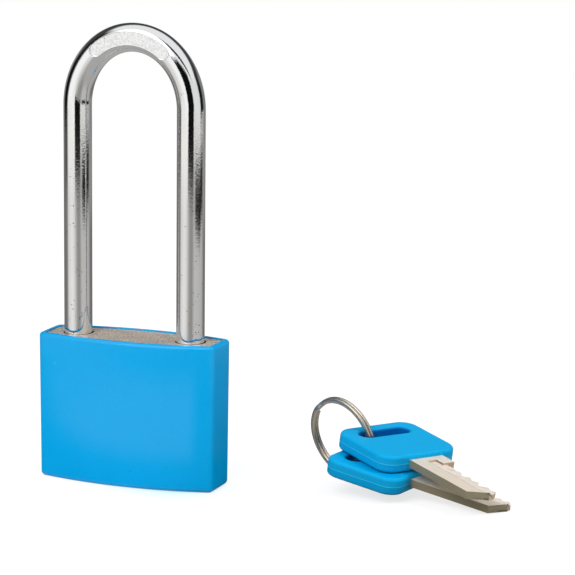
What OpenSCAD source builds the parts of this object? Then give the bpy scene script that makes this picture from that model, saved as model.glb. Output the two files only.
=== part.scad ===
// Padlock with a long shackle, a moulded jacket and two keys on a split ring.
// Millimetres, +Z up. The origin is the middle of the padlock's base, the front faces -Y,
// and the shackle's fixed leg (the heel) is on the -X side.
// It is drawn pressed shut, with the plug turned to its open mark.

/* [Cover] */
// Width of the cover, over its narrow ends
cover_w = 53.6; // [50:0.2:66]
// Depth of the cover at its middle, where the faces bulge most
cover_d = 20.6; // [20:0.2:26]
// Depth of the cover at its narrow ends
cover_end_d = 12.7; // [11:0.1:18]
// Height of the cover
cover_h = 41.8; // [40:0.2:60]
// Thickness of the cover's wall
cover_wall = 1.3; // [0.9:0.05:1.7]
// Thickness of the cover's floor
cover_floor = 1.6; // [1:0.1:3]
// How far the rim grips inwards over the block
lip_reach = 0.4; // [0.2:0.05:0.7]
// Height of the gripping rim
lip_h = 1.2; // [0.6:0.1:2.5]
// Flat cut on the cover's upright corners
corner_cut = 0.7; // [0.3:0.1:1.5]
// Diameter of the key's opening in the floor
key_opening_d = 14; // [13.2:0.1:16]

/* [Block] */
// Moulding clearance between the block and the cover
block_gap = 0.1; // [0.05:0.01:0.2]
// How far the block's top lies below the rim
top_recess = 0.4; // [0.1:0.1:1]
// Radial clearance of the shackle in its holes
hole_gap = 0.2; // [0.1:0.05:0.3]
// Solid metal left under the heel hole
heel_floor = 1; // [0.8:0.1:2]
// How far the plug's bore goes on above the cam
cam_headroom = 0.4; // [0.2:0.1:0.8]

/* [Shackle] */
// Diameter of the shackle's bar
bar_d = 8; // [7:0.1:8.4]
// Distance between the axes of the two legs
leg_spacing = 34.4; // [33:0.1:36]
// Clear height inside the shackle, above the cover
clear_h = 80; // [20:1:120]
// How deep the toe sits in the block
toe_depth = 13.4; // [12.4:0.1:14.4]
// Room between the lifted toe and the rim
toe_clear = 0.6; // [0.2:0.1:1.5]
// Diameter of the heel's turned neck
neck_d = 4.5; // [4:0.1:4.7]
// Height of the collar under the neck
collar_h = 2.5; // [1.5:0.1:3]
// Cone on the ends of the legs
leg_chamfer = 0.8; // [0.3:0.1:1.5]
// Room under the toe in its hole
toe_room = 0.5; // [0.3:0.1:1]
// Depth of the bare pressed panel on the bend
panel_depth = 0.6; // [0.3:0.05:0.8]
// Width of the pressed panel
panel_w = 4.4; // [3:0.1:5.5]
// Angle that the pressed panel spans round the bend
panel_angle = 72; // [30:1:90]

/* [Latches] */
// Diameter of the latch bolts
latch_d = 5; // [4:0.1:5.4]
// Travel of each latch bolt
latch_throw = 1.8; // [1.2:0.1:2]
// Distance of the latch axis below the block's top
latch_drop = 8.2; // [7.8:0.1:8.6]
// Length of the cone on a bolt's nose
nose_len = 1.4; // [0.8:0.1:1.8]
// Diameter of a bolt's nose at its tip
nose_d = 2.4; // [1.6:0.1:3]
// Room round a thrown bolt's nose in its notch
notch_room = 0.15; // [0.1:0.05:0.25]
// How far a drawn-back bolt's tip stays inside its bore
tip_back = 0.1; // [0.05:0.05:0.3]
// Height of the locking cam
cam_h = 4; // [3:0.1:4.4]
// Room between the cam's lobes and the plug's bore
cam_inset = 0.25; // [0.1:0.05:0.4]
// Room between the cam and the bolts
cam_gap = 0.25; // [0.1:0.05:0.4]
// Diameter of the stop pin across the heel's neck
stop_pin_d = 2.5; // [2:0.1:2.8]
// How far the stop pin reaches into the metal in front of the heel hole
stop_pin_bite = 1.2; // [0.8:0.1:2]
// How far the cross pins' ends lie below the block's back
pin_inset = 0.3; // [0.1:0.1:0.6]
// How far the seals' ends lie below the block's side
seal_inset = 0.2; // [0.1:0.05:0.4]

/* [Cylinder] */
// Diameter of the plug
plug_d = 12.6; // [12:0.1:13]
// Length of the plug, without its stem
plug_len = 24.5; // [24:0.1:25.5]
// How far the plug's face lies above the cover's floor
plug_recess = 0.4; // [0.2:0.1:0.6]
// Diameter of the stem that drives the cam
stem_d = 5; // [4.4:0.1:5.6]
// Width of the tongue on the stem
tongue_w = 2.4; // [2:0.1:3]
// Solid end of the plug above the keyway
keyway_end = 1.6; // [1.2:0.1:2]
// Radial running clearance of the plug, the bolts and the pins
run_gap = 0.05; // [0.02:0.01:0.08]
// Air between parts that rest on each other
touch = 0.05; // [0.03:0.01:0.06]
// Radial relief of the pins and seals that are pressed into the block
press_gap = 0.01; // [0.005:0.005:0.02]
// Number of pin stacks
pin_count = 5; // [4:1:5]
// Spacing of the pin stacks
pin_pitch = 3.8; // [3.4:0.1:3.9]
// Distance of the first stack from the plug's face
first_pin = 4.5; // [4:0.1:4.8]
// Diameter of the tumbler pins
pin_d = 2.8; // [2.2:0.1:3]
// Length of the cone on a key pin's tip
point_len = 0.8; // [0.5:0.1:1]
// How far the pin holes run past the plug's axis
chamber_past = 0.5; // [0.2:0.1:1]
// Length of a driver pin
driver_len = 5; // [4:0.1:6]
// Length of the seal that closes each pin hole
seal_len = 3.6; // [2:0.1:5]
// Diameter of the pin that keeps the plug in the block
plug_pin_d = 1.6; // [1.2:0.1:1.8]
// How far that pin stands in the plug's groove
plug_pin_bite = 0.85; // [0.6:0.05:1]
// How far that pin reaches in front of the plug's axis
plug_pin_front = 4.5; // [3:0.1:6]
// Height of the plug above the pin's groove
plug_rim = 0.65; // [0.5:0.05:0.8]
// Clearance of the groove round the pin
groove_gap = 0.1; // [0.05:0.05:0.15]

/* [Springs] */
// Wire of the shackle's spring
spring_wire = 0.7; // [0.5:0.05:0.8]
// Length of the shackle's spring when the padlock is shut
spring_len = 5; // [4.6:0.1:5.4]
// Coils of the shackle's spring
spring_turns = 4.5; // [3:0.5:5]
// Room round the shackle's spring in its hole
spring_room = 0.75; // [0.4:0.05:1]
// Wire of the small pin springs
pin_spring_wire = 0.3; // [0.2:0.05:0.4]
// Coils of each pin spring
pin_spring_turns = 6; // [4:1:8]
// Room round each pin spring in its hole
pin_spring_room = 0.25; // [0.15:0.05:0.35]

/* [Keys] */
// Length of the key's head, along the blade
head_l = 24.2; // [20:0.2:30]
// Width of the key's head, across the blade
head_w = 26.6; // [22:0.2:32]
// Thickness of the key's head
head_t = 5; // [4:0.1:5.4]
// Radius of the head's corners
head_corner = 4.8; // [2:0.1:7]
// Soft edge of the head
head_edge = 0.9; // [0.3:0.1:1.4]
// Length of the slot in the head
slot_l = 17; // [13:0.2:19]
// Width of the slot in the head
slot_w = 4.8; // [4.6:0.1:6]
// Width of the bar between the slot and the end of the head
slot_bar = 3.8; // [3:0.1:5]
// Length of the bare blade, from the head to the tip
blade_l = 28; // [26:0.2:30]
// Width of the blade
blade_w = 9; // [8:0.1:9.2]
// Thickness of the blade
blade_t = 2.2; // [1.8:0.05:2.4]
// How far the blade's middle lies off the plug's axis, away from the pins
blade_shift = 0.2; // [0.1:0.05:0.3]
// Length of the shoulder between the head and the stop
shoulder_l = 5.4; // [4:0.1:7]
// How far the stop stands out beyond the blade's cut edge
stop_reach = 2.6; // [1.5:0.1:3.5]
// Distance of the stop's root below the cut edge
stop_root = 1.4; // [1:0.1:2]
// Length of the tang moulded into the head
tang_l = 9; // [5:0.5:11]
// Depth of the milled step and groove in the blade's faces
step_depth = 0.6; // [0.3:0.05:0.8]
// Distance of the milled step from the head
step_start = 2.4; // [1.5:0.1:3.5]
// Distance of the milled step from the blade's back
step_back = 4.4; // [4:0.1:5]
// Distance of the groove from the blade's back
groove_back = 1.6; // [1.2:0.1:2]
// Width of the groove
groove_w = 2; // [1.4:0.1:2.2]
// Half the width of a cut's flat bottom
cut_flat = 0.5; // [0.3:0.05:0.7]
// How far the tip's slant runs along the blade
tip_run = 3; // [2:0.1:4]
// How far the tip's slant runs across the blade
tip_rise = 5.6; // [4:0.1:6]
// Length of the corner taken off the tip's cut edge
nose_run = 1.4; // [0.8:0.1:2]
// Depth of the corner taken off the tip's cut edge
nose_drop = 1.8; // [1:0.1:2.4]
// Air round the tang in the moulded head
mould_gap = 0.03; // [0.02:0.01:0.05]
// Clearance of the key in the keyway
key_gap = 0.12; // [0.05:0.01:0.2]

/* [Key ring] */
// Outer diameter of the split ring
ring_d = 24; // [22:0.5:28]
// Width of the ring's wire, seen along the ring's axis
ring_wire_w = 1.5; // [1.2:0.1:1.8]
// Thickness of one coil of the ring
ring_wire_t = 1; // [0.8:0.1:1.2]
// Air between the ring's two coils
coil_gap = 0.08; // [0.05:0.01:0.15]
// Air between the ring and the bar of each key
bar_gap = 0.15; // [0.1:0.05:0.3]
// Air between the two keys
stack_gap = 0.2; // [0.1:0.05:0.4]

/* [Places of the loose keys] */
// Middle of the ring, to the right of the padlock
set_x = 54; // [50:1:90]
// Middle of the ring, behind the padlock's middle
set_y = 25; // [-30:1:40]
// Direction of the key set, from +X towards -Y
set_turn = 23; // [0:1:60]
// Angle between the two keys
key_spread = 20; // [0:1:30]
// Shift of each key sideways on the ring
key_shift = 5.4; // [0:0.1:5.4]
// Sideways lean of the standing ring
ring_lean = 12; // [0:1:14]

/* [Hidden] */

eps = 0.01;                      // overrun of a cut past a flat face
cut_over = 1;                    // overrun of a cut past a curved face
fine = 96;                       // facets of an ordinary round
open_turn = 90;                  // turn of the plug between shut and open, in degrees
floor_air = 0.02;                // air between the ring and the ground it stands on

// cover and block
face_r = (pow(cover_w / 2, 2) + pow((cover_d - cover_end_d) / 2, 2)) / (cover_d - cover_end_d);
block_inset = cover_wall + block_gap;
block_top = cover_h - top_recess;
block_half_w = cover_w / 2 - block_inset;

// shackle
leg_x = leg_spacing / 2;
bar_r = bar_d / 2;
hole_r = bar_r + hole_gap;
bend_z = cover_h + clear_h - (leg_x - bar_r);
toe_z = block_top - toe_depth;
lift = toe_depth + top_recess + toe_clear;
heel_hole_z = cover_floor + heel_floor;
heel_z = heel_hole_z + spring_len + touch;
neck_z = heel_z + collar_h;
stop_pin_z = neck_z + lift + stop_pin_d / 2 + 2 * touch;
neck_top_z = stop_pin_z + stop_pin_d / 2 + 5 * touch;
stop_pin_x = -leg_x + neck_d / 2 + stop_pin_d / 2 + 2 * touch;
stop_pin_start = -hole_r - stop_pin_bite;
latch_z = block_top - latch_drop;

// plug, cam and bolts
bore_r = plug_d / 2 + run_gap;
plug_z = cover_floor + plug_recess;
plug_top = plug_z + plug_len;
cam_z = latch_z - cam_h / 2;
cam_bore_top = cam_z + cam_h + cam_headroom;
cam_far = bore_r - cam_inset;
cam_near = cam_far - latch_throw;
latch_tip_x = leg_x - hole_r - tip_back;
latch_root_x = cam_near + cam_gap;
latch_r = latch_d / 2;
plug_pin_x = plug_d / 2 + plug_pin_d / 2 - plug_pin_bite;
plug_pin_z = plug_top - plug_pin_d / 2 - plug_rim;

// pin stacks
pin_r = pin_d / 2;
cut_depths = [0.5, 1.4, 0.9, 1.6, 0.7];
cut_edge = blade_w / 2 - blade_shift;    // the blade's cut edge, from the plug's axis
key_back = cut_edge - blade_w;           // the blade's back, from the plug's axis
pin_end = sqrt(pow(plug_d / 2, 2) - pow(pin_r, 2)) - touch / 2;
driver_x = bore_r + touch / 2;
seal_x = block_half_w - seal_inset - seal_len;

// keys and ring
ring_out = ring_d / 2;
ring_in = ring_out - ring_wire_w;
ring_half_t = ring_wire_t + coil_gap / 2;
head_x = sqrt(pow(ring_in - bar_gap, 2) - pow(head_t + stack_gap / 2, 2)) - slot_bar;
tip_reach = (head_x + head_l + blade_l) * cos(key_spread / 2)
    + (key_shift - key_back - tip_rise) * sin(key_spread / 2);
blade_low = (stack_gap + head_t + blade_t) / 2;
ring_z = ring_out * cos(ring_lean) + ring_half_t * sin(ring_lean) + floor_air;
set_tilt = asin(ring_z / sqrt(pow(tip_reach, 2) + pow(blade_low, 2))) - atan(blade_low / tip_reach);

function stack_z(i) = plug_z + first_pin + i * pin_pitch;

// ---------------------------------------------------------------- outlines

// Plan of the cover: two shallow arcs between flat narrow ends, drawn smaller all round by inset.
module plan(inset) {
    r = face_r - inset;
    w = cover_w / 2 - inset;
    d = cover_end_d / 2 - inset;
    c = corner_cut;
    intersection() {
        translate([0, face_r - cover_d / 2]) circle(r = r, $fn = 360);
        translate([0, cover_d / 2 - face_r]) circle(r = r, $fn = 360);
        polygon([[w, c - d], [w, d - c], [w - c, d + c / 3], [w - 3 * c, cover_d],
                 [3 * c - w, cover_d], [c - w, d + c / 3], [-w, d - c], [-w, c - d],
                 [c - w, -d - c / 3], [3 * c - w, -cover_d], [w - 3 * c, -cover_d],
                 [w - c, -d - c / 3]]);
    }
}

module plan_block(inset, low, high) {
    translate([0, 0, low]) linear_extrude(high - low) plan(inset);
}

module post(r, low, high) {
    translate([0, 0, low]) cylinder(r = r, h = high - low, $fn = fine);
}

// A round bar along +X from x = near to x = far.
module bar_x(r, near, far) {
    translate([near, 0, 0]) rotate([0, 90, 0]) cylinder(r = r, h = far - near, $fn = fine);
}

// A round pin along Y, from y = near to y = far.
module bar_y(r, near, far) {
    translate([0, near, 0]) rotate([-90, 0, 0]) cylinder(r = r, h = far - near, $fn = fine);
}

// Depth of the block's front and back faces at a distance x from the middle.
function block_half_d(x) = sqrt(pow(face_r - block_inset, 2) - x * x) - face_r + cover_d / 2;

// ---------------------------------------------------------------- cover and block

module cover() {
    color("DeepSkyBlue") difference() {
        plan_block(0, 0, cover_h);
        plan_block(cover_wall, cover_floor, cover_h - lip_h);
        plan_block(cover_wall + lip_reach, cover_floor, cover_h + eps);
        post(key_opening_d / 2, -eps, cover_floor + eps);
    }
}

module lock_body() {
    color("Silver") difference() {
        union() {
            plan_block(block_inset, cover_floor, cover_h - lip_h - block_gap);
            plan_block(block_inset + lip_reach, cover_h - 2 * lip_h, block_top);
        }
        translate([-leg_x, 0, 0]) post(hole_r, heel_hole_z, block_top + eps);
        translate([leg_x, 0, 0]) post(hole_r, toe_z - toe_room, block_top + eps);
        post(bore_r, cover_floor - eps, cam_bore_top);
        translate([0, 0, latch_z]) bar_x(latch_r + run_gap, -leg_x, block_half_w + eps);
        translate([stop_pin_x, 0, stop_pin_z])
            bar_y(stop_pin_d / 2, stop_pin_start, block_half_d(stop_pin_x) + cut_over);
        translate([plug_pin_x, 0, plug_pin_z])
            bar_y(plug_pin_d / 2, -plug_pin_front, block_half_d(plug_pin_x) + cut_over);
        for (i = [0 : pin_count - 1])
            translate([0, 0, stack_z(i)]) bar_x(pin_r + run_gap, 0, block_half_w + eps);
    }
}

module stop_pin() {
    color("DimGray") translate([stop_pin_x, 0, stop_pin_z])
        bar_y(stop_pin_d / 2 - press_gap, stop_pin_start, block_half_d(stop_pin_x) - pin_inset);
}

module plug_pin() {
    color("DimGray") translate([plug_pin_x, 0, plug_pin_z])
        bar_y(plug_pin_d / 2 - press_gap, -plug_pin_front, block_half_d(plug_pin_x) - pin_inset);
}

module latch_bore_seal() {
    color("Goldenrod") translate([0, 0, latch_z])
        bar_x(latch_r + run_gap - press_gap, leg_x + hole_r + seal_inset, block_half_w - seal_inset);
}

module chamber_seals() {
    color("Goldenrod") for (i = [0 : pin_count - 1])
        translate([0, 0, stack_z(i)]) bar_x(pin_r + run_gap - press_gap, seal_x, seal_x + seal_len);
}

// ---------------------------------------------------------------- shackle

// A leg with a cone on its lower end, from z = low up to the bend.
module leg(low) {
    translate([0, 0, low]) cylinder(r1 = bar_r - leg_chamfer, r2 = bar_r, h = leg_chamfer, $fn = fine);
    post(bar_r, low + leg_chamfer, bend_z);
}

// The space that a thrown bolt's nose takes in a leg, with room all round.
module latch_notch() {
    tip = leg_x - latch_tip_x - latch_throw - notch_room;
    translate([0, 0, latch_z]) rotate([0, -90, 0]) {
        translate([0, 0, tip])
            cylinder(r1 = nose_d / 2 + notch_room, r2 = latch_r + notch_room, h = nose_len, $fn = fine);
        translate([0, 0, tip + nose_len]) cylinder(r = latch_r + notch_room, h = bar_d, $fn = fine);
    }
}

// The pressed panel: a flat-floored curved slot with round ends on the front of the bend.
module panel_cut() {
    rotate([90, 0, 0]) translate([0, 0, bar_r - panel_depth]) rotate([0, 0, 90 - panel_angle / 2]) {
        rotate_extrude(angle = panel_angle, $fn = fine)
            translate([leg_x - panel_w / 2, 0]) square([panel_w, panel_depth + cut_over]);
        for (a = [0, panel_angle])
            rotate([0, 0, a]) translate([leg_x, 0, 0])
                cylinder(d = panel_w, h = panel_depth + cut_over, $fn = fine);
    }
}

module shackle() {
    color("LightGray") difference() {
        union() {
            translate([0, 0, bend_z]) rotate([90, 0, 0]) rotate_extrude(angle = 180, $fn = 2 * fine)
                translate([leg_x, 0]) circle(r = bar_r, $fn = fine);
            translate([leg_x, 0, 0]) leg(toe_z);
            translate([-leg_x, 0, 0]) leg(heel_z);
        }
        translate([leg_x, 0, 0]) latch_notch();
        translate([-leg_x, 0, 0]) mirror([1, 0, 0]) latch_notch();
        translate([-leg_x, 0, 0]) difference() {
            post(bar_r + cut_over, neck_z, neck_top_z);
            post(neck_d / 2, neck_z - cut_over, neck_top_z + cut_over);
        }
        translate([0, 0, bend_z]) panel_cut();
    }
}

// ---------------------------------------------------------------- bolts and cam

module latch_bolt() {
    translate([0, 0, latch_z]) {
        bar_x(latch_r, latch_root_x, latch_tip_x - nose_len);
        translate([latch_tip_x - nose_len, 0, 0]) rotate([0, 90, 0])
            cylinder(r1 = latch_r, r2 = nose_d / 2, h = nose_len, $fn = fine);
    }
}

module toe_latch() {
    color("Gray") latch_bolt();
}

module heel_latch() {
    color("Gray") mirror([1, 0, 0]) latch_bolt();
}

// Radius of the cam at an angle: two equal lobes. Each one rests low, climbs to its peak
// before a quarter turn, and falls back steadily over the next quarter turn.
function cam_reach(a) =
    let (b = a % 180, low_end = 40, climb = 25)
    b < low_end ? cam_near
    : b < low_end + climb ? cam_near + latch_throw * (b - low_end) / climb
    : b < open_turn ? cam_far
    : cam_far - latch_throw * (b - open_turn) / open_turn;

module locking_cam() {
    color("DarkKhaki") translate([0, 0, cam_z]) linear_extrude(cam_h) difference() {
        polygon([for (a = [0 : 5 : 355]) cam_reach(a) * [cos(a), sin(a)]]);
        square([stem_d, tongue_w], center = true);
    }
}

// ---------------------------------------------------------------- plug and pins

// Outline of the key's blade seen from its tip, grown by room on every side:
// a milled step on the cut half of one face and a groove near the back of the other.
function key_outline(room) =
    let (t = blade_t / 2 + room,
         back = key_back - room,
         edge = cut_edge + room,
         step = t - step_depth,
         groove = step_depth - t,
         near = key_back + groove_back - room,
         far = key_back + groove_back + groove_w + room,
         rise = key_back + step_back + room)
    [[back, -t], [near, -t], [near, groove], [far, groove], [far, -t], [edge, -t],
     [edge, step], [rise, step], [rise, t], [back, t]];

module plug() {
    color("Khaki") rotate([0, 0, -open_turn]) difference() {
        union() {
            post(plug_d / 2, plug_z, plug_top);
            post(stem_d / 2, plug_top, cam_z - touch);
            intersection() {
                post(stem_d / 2 - touch, cam_z - tongue_w, cam_z + cam_h);
                rotate([0, 0, open_turn]) translate([0, 0, cam_z])
                    cube([stem_d, tongue_w - 2 * touch, 3 * cam_h], center = true);
            }
        }
        translate([0, 0, plug_z - eps]) linear_extrude(plug_len - keyway_end) polygon(key_outline(key_gap));
        translate([0, 0, plug_pin_z]) difference() {
            post(plug_d, -plug_pin_d / 2 - groove_gap, plug_pin_d / 2 + groove_gap);
            post(plug_pin_x - plug_pin_d / 2 - groove_gap, -plug_pin_d, plug_pin_d);
        }
        for (i = [0 : pin_count - 1])
            translate([0, 0, stack_z(i)]) bar_x(pin_r + run_gap, -chamber_past, plug_d);
    }
}

module key_pins() {
    color("Gold") rotate([0, 0, -open_turn]) for (i = [0 : pin_count - 1]) {
        tip = cut_edge - cut_depths[i] + touch;
        translate([0, 0, stack_z(i)]) {
            bar_x(pin_r, tip + point_len, pin_end);
            translate([tip, 0, 0]) rotate([0, 90, 0])
                cylinder(r1 = pin_r - point_len, r2 = pin_r, h = point_len, $fn = fine);
        }
    }
}

module driver_pins() {
    color("LightSlateGray") for (i = [0 : pin_count - 1])
        translate([0, 0, stack_z(i)]) bar_x(pin_r, driver_x, driver_x + driver_len);
}

// ---------------------------------------------------------------- springs

// A coil of round wire that stands on z = 0, swept along its helix.
module coil(mean_r, wire, length, turns, steps, sides) {
    count = turns * steps;
    points = [for (i = [0 : count], j = [0 : sides - 1])
        let (a = 360 * i / steps,
             b = 360 * j / sides,
             out = mean_r + wire / 2 * cos(b))
        [out * cos(a), out * sin(a), wire / 2 + (length - wire) * i / count + wire / 2 * sin(b)]];
    walls = [for (i = [0 : count - 1], j = [0 : sides - 1], half = [0, 1])
        let (n = (j + 1) % sides, here = i * sides, next = here + sides)
        half == 0 ? [here + j, here + n, next + n] : [here + j, next + n, next + j]];
    ends = [[for (j = [0 : sides - 1]) sides - 1 - j], [for (j = [0 : sides - 1]) count * sides + j]];
    polyhedron(points = points, faces = concat(walls, ends), convexity = 8);
}

module shackle_spring() {
    color("DarkGray") translate([-leg_x, 0, heel_hole_z])
        coil(hole_r - spring_room - spring_wire / 2, spring_wire, spring_len, spring_turns, 24, 8);
}

module pin_springs() {
    near = driver_x + driver_len + touch;
    mean_r = pin_r + run_gap - pin_spring_room - pin_spring_wire / 2;
    color("DarkGray") for (i = [0 : pin_count - 1])
        translate([near, 0, stack_z(i)]) rotate([0, 90, 0])
            coil(mean_r, pin_spring_wire, seal_x - near - touch, pin_spring_turns, 10, 6);
}

// ---------------------------------------------------------------- keys

// The ring's frame: +X runs down the keys, +Z is square to their faces, the origin is the ring's centre.
module set_frame() {
    translate([set_x, set_y, ring_z]) rotate([0, 0, -set_turn]) rotate([0, set_tilt, 0]) children();
}

// Stands a key's parts in its place: side is 1 for the upper key and -1 for the lower one.
module key_frame(side) {
    rotate([0, 0, -side * key_spread / 2])
        translate([head_x, side * key_shift, side * (head_t + stack_gap) / 2]) children();
}

module head_plan(inset) {
    w = head_w / 2 - inset;
    r = head_corner - inset;
    translate([inset, 0]) hull() for (x = [r, head_l - 2 * inset - r], y = [r - w, w - r])
        translate([x, y]) circle(r = r, $fn = 32);
}

module tang_space(room) {
    translate([head_l - tang_l, key_back - room, -blade_t / 2 - room])
        cube([tang_l + eps, blade_w + stop_reach + 2 * room, blade_t + 2 * room]);
}

// The moulded head lies along +X from x = 0, with its slot across it.
module key_head() {
    difference() {
        hull() {
            translate([0, 0, -head_t / 2]) linear_extrude(head_t) head_plan(head_edge);
            translate([0, 0, head_edge - head_t / 2]) linear_extrude(head_t - 2 * head_edge) head_plan(0);
        }
        translate([slot_bar + slot_w / 2, 0, -head_t]) {
            for (side = [-1, 1])
                translate([0, side * (slot_l - slot_w) / 2, 0])
                    cylinder(d = slot_w, h = 2 * head_t, $fn = fine);
            translate([-slot_w / 2, (slot_w - slot_l) / 2, 0]) cube([slot_w, slot_l - slot_w, 2 * head_t]);
        }
        tang_space(mould_gap);
    }
}

// The cut edge, the slanted tip and the stop, as one shape seen on the flat of the blade.
module blade_plan() {
    start = head_l + shoulder_l;
    over = 0.3;
    difference() {
        union() {
            translate([head_l, key_back]) square([blade_l, blade_w]);
            translate([head_l, key_back]) square([shoulder_l, blade_w + stop_reach]);
        }
        for (i = [0 : pin_count - 1]) {
            x = start + first_pin + i * pin_pitch;
            d = cut_depths[i];
            translate([x, cut_edge])
                polygon([[-cut_flat, -d], [cut_flat, -d],
                         [cut_flat + d + over, over], [-cut_flat - d - over, over]]);
        }
        translate([head_l + blade_l, key_back])
            polygon([[-tip_run, -eps], [eps, tip_rise], [eps, -eps]]);
        translate([head_l + blade_l, cut_edge]) polygon([[-nose_run, eps], [eps, -nose_drop], [eps, eps]]);
    }
}

module key_blade() {
    intersection() {
        union() {
            translate([head_l + step_start, 0, 0]) rotate([90, 0, 90])
                linear_extrude(blade_l) polygon(key_outline(0));
            translate([head_l, key_back, -blade_t / 2]) cube([step_start, blade_w, blade_t]);
            translate([head_l, cut_edge - stop_root, -blade_t / 2])
                cube([shoulder_l, stop_reach + stop_root, blade_t]);
        }
        translate([0, 0, -blade_t]) linear_extrude(2 * blade_t) blade_plan();
    }
    tang_space(0);
}

module upper_key_head() {
    color("DeepSkyBlue") set_frame() key_frame(1) key_head();
}

module upper_key_blade() {
    color("Tan") set_frame() key_frame(1) key_blade();
}

module lower_key_head() {
    color("DeepSkyBlue") set_frame() key_frame(-1) key_head();
}

module lower_key_blade() {
    color("Tan") set_frame() key_frame(-1) key_blade();
}

// ---------------------------------------------------------------- split ring

// One coil of the ring about +Z, between two angles.
module ring_coil(low, from, to) {
    rotate([0, 0, from]) rotate_extrude(angle = to - from, $fn = 2 * fine)
        translate([ring_in, low]) square([ring_wire_w, ring_wire_t]);
}

// The wire makes two turns: it steps across from the lower coil to the upper one at angle 0,
// and each of its free ends stops just short of that step.
module split_ring() {
    low = -ring_half_t;
    high = coil_gap / 2;
    step = 9;
    lap = 1;
    short = 4;
    reach = ring_in * sin(step);
    color("Silver") set_frame() rotate([ring_lean, 0, 0]) rotate([90, 0, 0]) rotate([0, 0, 140]) {
        ring_coil(low, step + short, 360 - step + lap);
        ring_coil(high, step - lap, 360 - step - short);
        translate([ring_in * cos(step), 0, 0]) rotate([90, 0, 90]) linear_extrude(ring_wire_w)
            polygon([[-reach, low], [reach, high],
                     [reach, high + ring_wire_t], [-reach, low + ring_wire_t]]);
    }
}

cover();
lock_body();
shackle();
shackle_spring();
stop_pin();
toe_latch();
heel_latch();
locking_cam();
plug();
plug_pin();
key_pins();
driver_pins();
pin_springs();
chamber_seals();
latch_bore_seal();
split_ring();
upper_key_head();
upper_key_blade();
lower_key_head();
lower_key_blade();
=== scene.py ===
"""A padlock with a long chromed shackle and a moulded jacket, and its two keys on a split ring."""

import math

import bmesh
import bpy
import numpy as np
from mathutils import Matrix, Vector


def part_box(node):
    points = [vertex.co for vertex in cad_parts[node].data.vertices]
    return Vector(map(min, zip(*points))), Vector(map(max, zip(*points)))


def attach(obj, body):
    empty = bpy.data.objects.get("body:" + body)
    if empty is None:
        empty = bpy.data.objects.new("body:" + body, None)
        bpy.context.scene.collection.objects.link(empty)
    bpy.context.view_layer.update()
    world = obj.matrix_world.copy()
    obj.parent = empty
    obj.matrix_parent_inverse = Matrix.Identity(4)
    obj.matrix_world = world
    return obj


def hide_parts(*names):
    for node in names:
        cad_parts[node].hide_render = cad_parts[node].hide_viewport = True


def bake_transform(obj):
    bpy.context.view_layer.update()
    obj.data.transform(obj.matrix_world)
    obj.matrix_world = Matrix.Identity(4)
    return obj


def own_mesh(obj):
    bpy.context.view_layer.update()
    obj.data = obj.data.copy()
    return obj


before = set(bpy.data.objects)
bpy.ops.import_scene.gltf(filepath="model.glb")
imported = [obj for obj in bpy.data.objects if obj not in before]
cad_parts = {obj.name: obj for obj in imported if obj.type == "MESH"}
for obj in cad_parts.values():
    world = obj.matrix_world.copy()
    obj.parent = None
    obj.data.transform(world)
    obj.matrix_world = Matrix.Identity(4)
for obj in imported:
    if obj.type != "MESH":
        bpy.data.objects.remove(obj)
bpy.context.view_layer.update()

# ---------------------------------------------------------------- camera
# A long lens looks at the padlock from its right front and a little above. The padlock stands
# left of the middle of the view, and the keys lie at its lower right.
camera_place = Vector((0.3115814, -0.7021862, 0.2003883))
camera_forward = Vector((-0.347611, 0.919200, -0.185036))
camera_roll = math.radians(0.6117)
camera_lens = 174.153

camera_data = bpy.data.cameras.new("camera")
camera_data.lens = camera_lens
camera_data.sensor_width = 36
camera_data.clip_start = 0.01
camera_data.clip_end = 20
camera = bpy.data.objects.new("camera", camera_data)
level_look = camera_forward.to_track_quat("-Z", "Y").to_matrix()
camera.matrix_world = (
    Matrix.Translation(camera_place)
    @ (level_look @ Matrix.Rotation(camera_roll, 3, "Z")).to_4x4()
)
bpy.context.scene.collection.objects.link(camera)
bpy.context.scene.camera = camera
bpy.context.scene.view_settings.view_transform = "Standard"

# ---------------------------------------------------------------- studio
# White surroundings, as for a product on a table. Metal sees bright walls left and right of a
# dark gap at the camera, and a bright ceiling with a softbox and one more dark gap. Bands are
# pairs of a compass direction in degrees and a level there, and a value named _from gives the
# two numbers between which a change runs.
fill_level = 0.54
wall_bands = [
    (-180, 0.006), (-162, 0.006), (-157, 0.20), (-151, 0.60), (-147, 1.00), (-92, 1.00),
    (-88, 0.004), (-48, 0.004), (-44, 0.78), (-10, 0.78), (9, 0.74), (15, 0.01), (40, 0.01),
    (48, 0.20), (84, 0.26), (146, 0.28), (160, 0.22), (167, 0.006), (180, 0.006),
]
upper_bands = [
    (-180, 0.006), (-162, 0.006), (-151, 0.60), (-147, 1.00), (-92, 1.00), (-88, 0.004),
    (-48, 0.004), (-44, 0.78), (9, 0.74), (18, 0.01), (50, 0.05), (180, 0.05),
]
upper_from = (0.22, 0.34)
ceiling_tone = (0.88, 0.88, 0.89, 1)
ceiling_slope = (0.22, 0, 1)
ceiling_drop_behind = -0.38
ceiling_from = (0.46, 0.66)
gap_tone = (0.01, 0.01, 0.01, 1)
gap_axis = (0.491, 0.289, 0.822)
gap_inner_from, gap_outer_from, gap_front_from = (0.9, 0.74), (0.58, 0.62), (-0.33, -0.41)
softbox_tone = (2.7, 2.7, 2.7, 1)
softbox_towards = (-0.15, -0.72, 0.68)
softbox_from = (0.86, 0.97)
lamp_aim = Vector((0.03, 0, 0.03))


def node(tree, kind, sockets=(), **settings):
    """Adds one shader node. Settings are its properties, and sockets gives each input either
    a value or the output that feeds it."""
    made = tree.nodes.new("ShaderNode" + kind)
    for name, value in settings.items():
        setattr(made, name, value)
    for name, value in dict(sockets).items():
        if isinstance(value, bpy.types.NodeSocket):
            tree.links.new(value, made.inputs[name])
        else:
            made.inputs[name].default_value = value
    return made


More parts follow.
